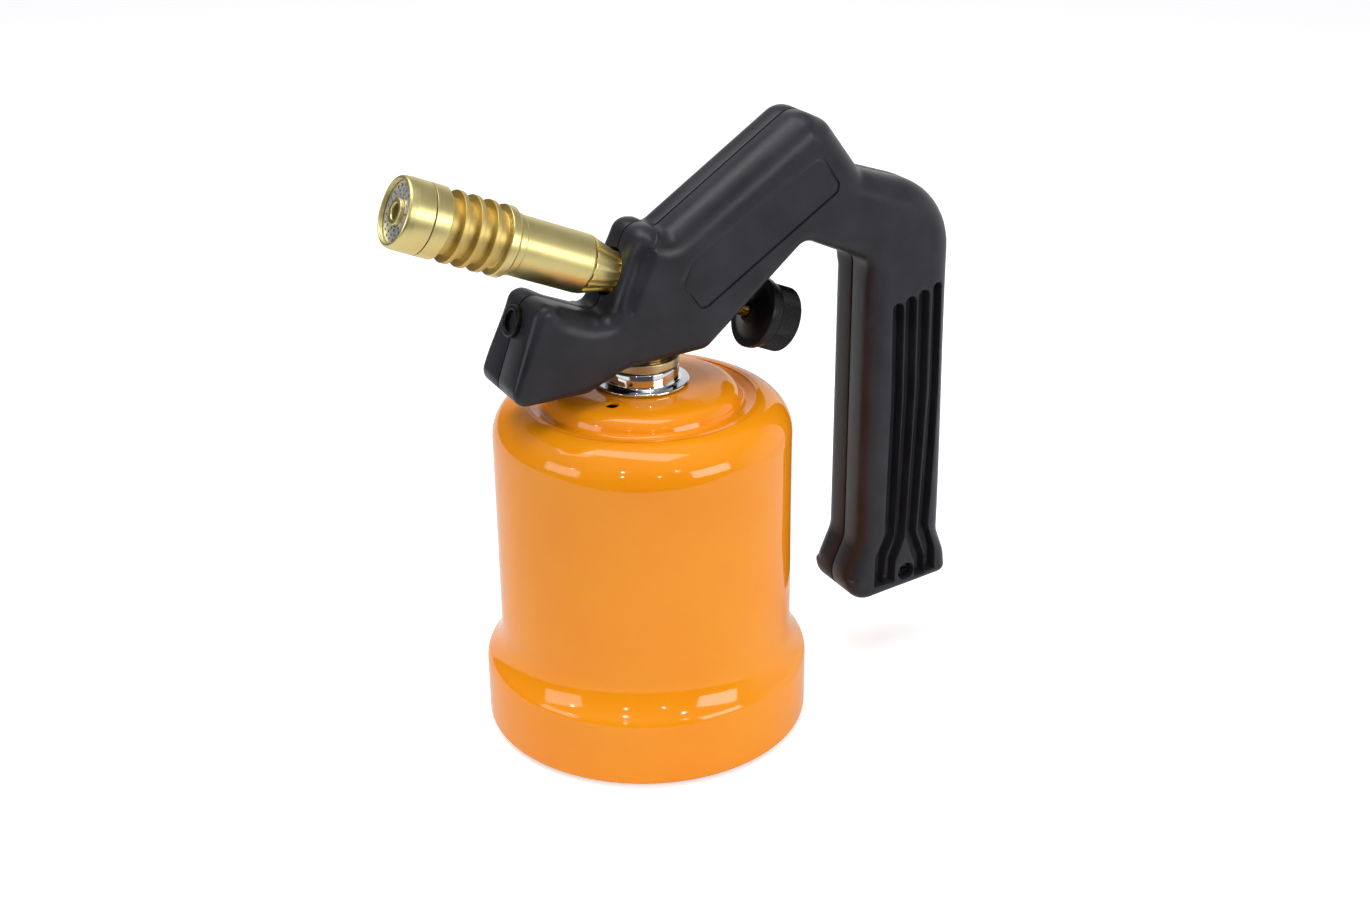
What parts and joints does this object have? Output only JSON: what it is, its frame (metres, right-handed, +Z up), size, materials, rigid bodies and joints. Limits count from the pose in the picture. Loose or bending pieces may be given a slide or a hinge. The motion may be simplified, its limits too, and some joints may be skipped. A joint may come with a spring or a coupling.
{
  "type": "gas torch",
  "caption": "Hand-held gas torch: bell-shaped canister over a pierceable cartridge, black handle, inclined brass burner with cooling fins, valve knob at the rear.",
  "frame": {"origin": "on the canister's axis, on the surface that the torch stands on", "axes": "+Z up along the canister's axis, -X towards the burner's mouth, +X towards the grip; the handle's parting plane is Y = 0"},
  "size_m": [0.1905, 0.1044, 0.194],
  "materials": {
    "casing_enamel": "glossy orange enamel",
    "pan_enamel": "orange enamel",
    "collar_chrome": "mirror bright plating",
    "steel_ring": "zinc plated",
    "steel_lug": "zinc plated",
    "cartridge_paint": "gloss lacquer, bare of print",
    "ring_brass": "turned, slightly dull",
    "inner_brass": "turned",
    "needle_steel": "ground",
    "seal_rubber": "matte",
    "filter_metal": "sintered, rough",
    "spindle_brass": "polished",
    "knob_plastic": "black, knurled",
    "screw_steel": "zinc plated",
    "intake_brass": "heat-toned, dull",
    "burner_brass": "satin turned",
    "disc_steel": "perforated",
    "handle_plastic": "fine-grained black",
    "ring_plastic": "black"
  },
  "bodies": {
    "canister": {"casing": "casing_enamel", "collar": "collar_chrome", "collar_backing_ring": "steel_ring", "bayonet_lug_1": "steel_lug", "bayonet_lug_2": "steel_lug", "bayonet_lug_3": "steel_lug", "gas_cartridge": "cartridge_paint"},
    "base": {"base_pan": "pan_enamel"},
    "inlet_seal": {"cartridge_seal": "seal_rubber"},
    "head": {"handle_near": "handle_plastic", "handle_far": "handle_plastic", "handle_screw": "screw_steel", "nose_ring": "ring_plastic", "lock_ring": "ring_brass", "inlet_connector": "inner_brass", "piercing_needle": "needle_steel", "gas_filter": "filter_metal", "valve_body": "inner_brass", "gas_jet": "inner_brass", "packing_washer": "steel_ring", "packing_nut": "inner_brass", "air_intake": "intake_brass", "burner_tube": "burner_brass", "finned_body": "burner_brass", "mouth_cap": "burner_brass", "flame_disc": "disc_steel", "pilot_tube": "burner_brass"},
    "stem_seal": {"spindle_o_ring": "seal_rubber"},
    "stem": {"valve_spindle": "spindle_brass", "control_knob": "knob_plastic", "knob_screw": "screw_steel"}
  },
  "joints": [
    {"name": "base_twist", "type": "hinge", "parent": "canister", "child": "base", "pos_m": [0, 0, 0], "axis": [0, 0, 1], "range_deg": [0, 30]},
    {"name": "head_rise", "type": "slide", "parent": "canister", "child": "inlet_seal", "axis": [0, 0, 1], "range_m": [0, 0.0046]},
    {"name": "head_turn", "type": "hinge", "parent": "inlet_seal", "child": "head", "pos_m": [0, 0, 0.12], "axis": [0, 0, 1], "range_deg": [0, 1080]},
    {"name": "spindle_advance", "type": "slide", "parent": "head", "child": "stem_seal", "axis": [0.9191, 0, -0.3939], "range_m": [0, 0.0016]},
    {"name": "knob_turn", "type": "hinge", "parent": "stem_seal", "child": "stem", "pos_m": [0.03916, 0, 0.13092], "axis": [0.9191, 0, -0.3939], "range_deg": [0, 540]}
  ],
  "couplings": [
    {"joint": "head_rise", "follows": "head_turn", "m_per_rad": 0.00023873},
    {"joint": "spindle_advance", "follows": "knob_turn", "m_per_rad": 0.00015915}
  ]
}
